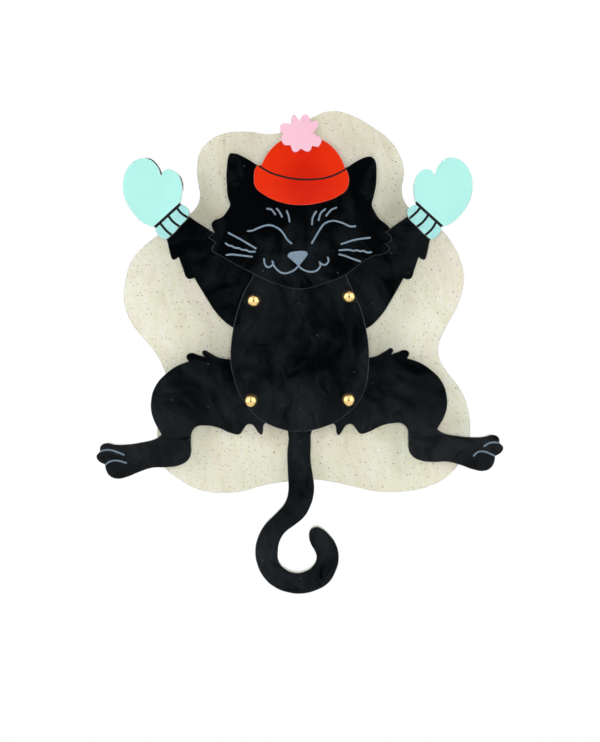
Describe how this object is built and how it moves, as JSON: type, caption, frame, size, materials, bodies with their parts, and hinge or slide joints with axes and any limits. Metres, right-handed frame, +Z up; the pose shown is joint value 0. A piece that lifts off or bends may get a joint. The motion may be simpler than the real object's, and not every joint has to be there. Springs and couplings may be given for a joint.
{
  "type": "articulated acrylic cat brooch",
  "caption": "Flat layered acrylic cat brooch: waving arms and kicking legs are worked by pushing and pulling its hooked tail, with a hinged pin and roller catch behind.",
  "frame": {"origin": "middle of the brooch bar's rear face, on the cat's midline", "axes": "+Z up through the head, +X to the right as seen from the front, front faces -Y"},
  "size_m": [0.0855, 0.0232, 0.1025],
  "materials": {
    "snow_acrylic": "polished pearl with fine glitter",
    "black_acrylic": "polished, faint grey marbling",
    "red_acrylic": "polished, satin sheen",
    "pink_acrylic": "polished, opaque",
    "mint_acrylic": "polished, opaque",
    "clear_acrylic": "polished",
    "gold_brass": "polished gold plate",
    "finding_steel": "nickel plate"
  },
  "bodies": {
    "base": {"snow_base": "snow_acrylic", "torso_plate": "black_acrylic", "head_plate": "black_acrylic", "hat_plate": "red_acrylic", "pompom_plate": "pink_acrylic", "guide_post_upper": "clear_acrylic", "guide_post_lower": "clear_acrylic", "spacer_arm_left": "clear_acrylic", "spacer_arm_right": "clear_acrylic", "spacer_leg_left": "clear_acrylic", "spacer_leg_right": "clear_acrylic", "pivot_pin_arm_left": "gold_brass", "pivot_pin_arm_right": "gold_brass", "pivot_pin_leg_left": "gold_brass", "pivot_pin_leg_right": "gold_brass", "rear_washer_arm_left": "gold_brass", "rear_washer_arm_right": "gold_brass", "rear_washer_leg_left": "gold_brass", "rear_washer_leg_right": "gold_brass", "brooch_bar": "finding_steel", "hinge_rivet": "finding_steel"},
    "tail": {"tail_slider": "black_acrylic"},
    "arm_left": {"arm_left": "black_acrylic", "mitten_left": "mint_acrylic", "drive_pin_arm_left": "gold_brass"},
    "arm_right": {"arm_right": "black_acrylic", "mitten_right": "mint_acrylic", "drive_pin_arm_right": "gold_brass"},
    "leg_left": {"leg_left": "black_acrylic", "drive_pin_leg_left": "gold_brass"},
    "leg_right": {"leg_right": "black_acrylic", "drive_pin_leg_right": "gold_brass"},
    "brooch_pin": {"pin_stem": "finding_steel"},
    "catch_roller": {"catch_roller": "finding_steel"}
  },
  "joints": [
    {"name": "tail_push", "type": "slide", "parent": "base", "child": "tail", "axis": [0, 0, 1], "range_m": [0, 0.0061]},
    {"name": "arm_left_swing", "type": "hinge", "parent": "base", "child": "arm_left", "pos_m": [-0.0097, -0.008, -0.00885], "axis": [0, -1, 0], "range_deg": [0, 75.2]},
    {"name": "arm_right_swing", "type": "hinge", "parent": "base", "child": "arm_right", "pos_m": [0.01005, -0.008, -0.008], "axis": [0, 1, 0], "range_deg": [0, 75.2]},
    {"name": "leg_left_swing", "type": "hinge", "parent": "base", "child": "leg_left", "pos_m": [-0.0103, -0.008, -0.02965], "axis": [0, -1, 0], "range_deg": [0, 48.1]},
    {"name": "leg_right_swing", "type": "hinge", "parent": "base", "child": "leg_right", "pos_m": [0.01, -0.008, -0.02945], "axis": [0, 1, 0], "range_deg": [0, 48.1]},
    {"name": "brooch_pin_hinge", "type": "hinge", "parent": "base", "child": "brooch_pin", "pos_m": [-0.014, 0.0037, 0], "axis": [0, 0, 1], "range_deg": [0, 70]},
    {"name": "catch_roller_turn", "type": "hinge", "parent": "base", "child": "catch_roller", "pos_m": [0.014, 0.0037, 0], "axis": [-1, 0, 0], "range_deg": [0, 90]}
  ],
  "couplings": [
    {"joint": "arm_left_swing", "follows": "tail_push", "rad_per_m": 215},
    {"joint": "arm_right_swing", "follows": "tail_push", "rad_per_m": 215},
    {"joint": "leg_left_swing", "follows": "tail_push", "rad_per_m": 137.3},
    {"joint": "leg_right_swing", "follows": "tail_push", "rad_per_m": 137.3}
  ]
}
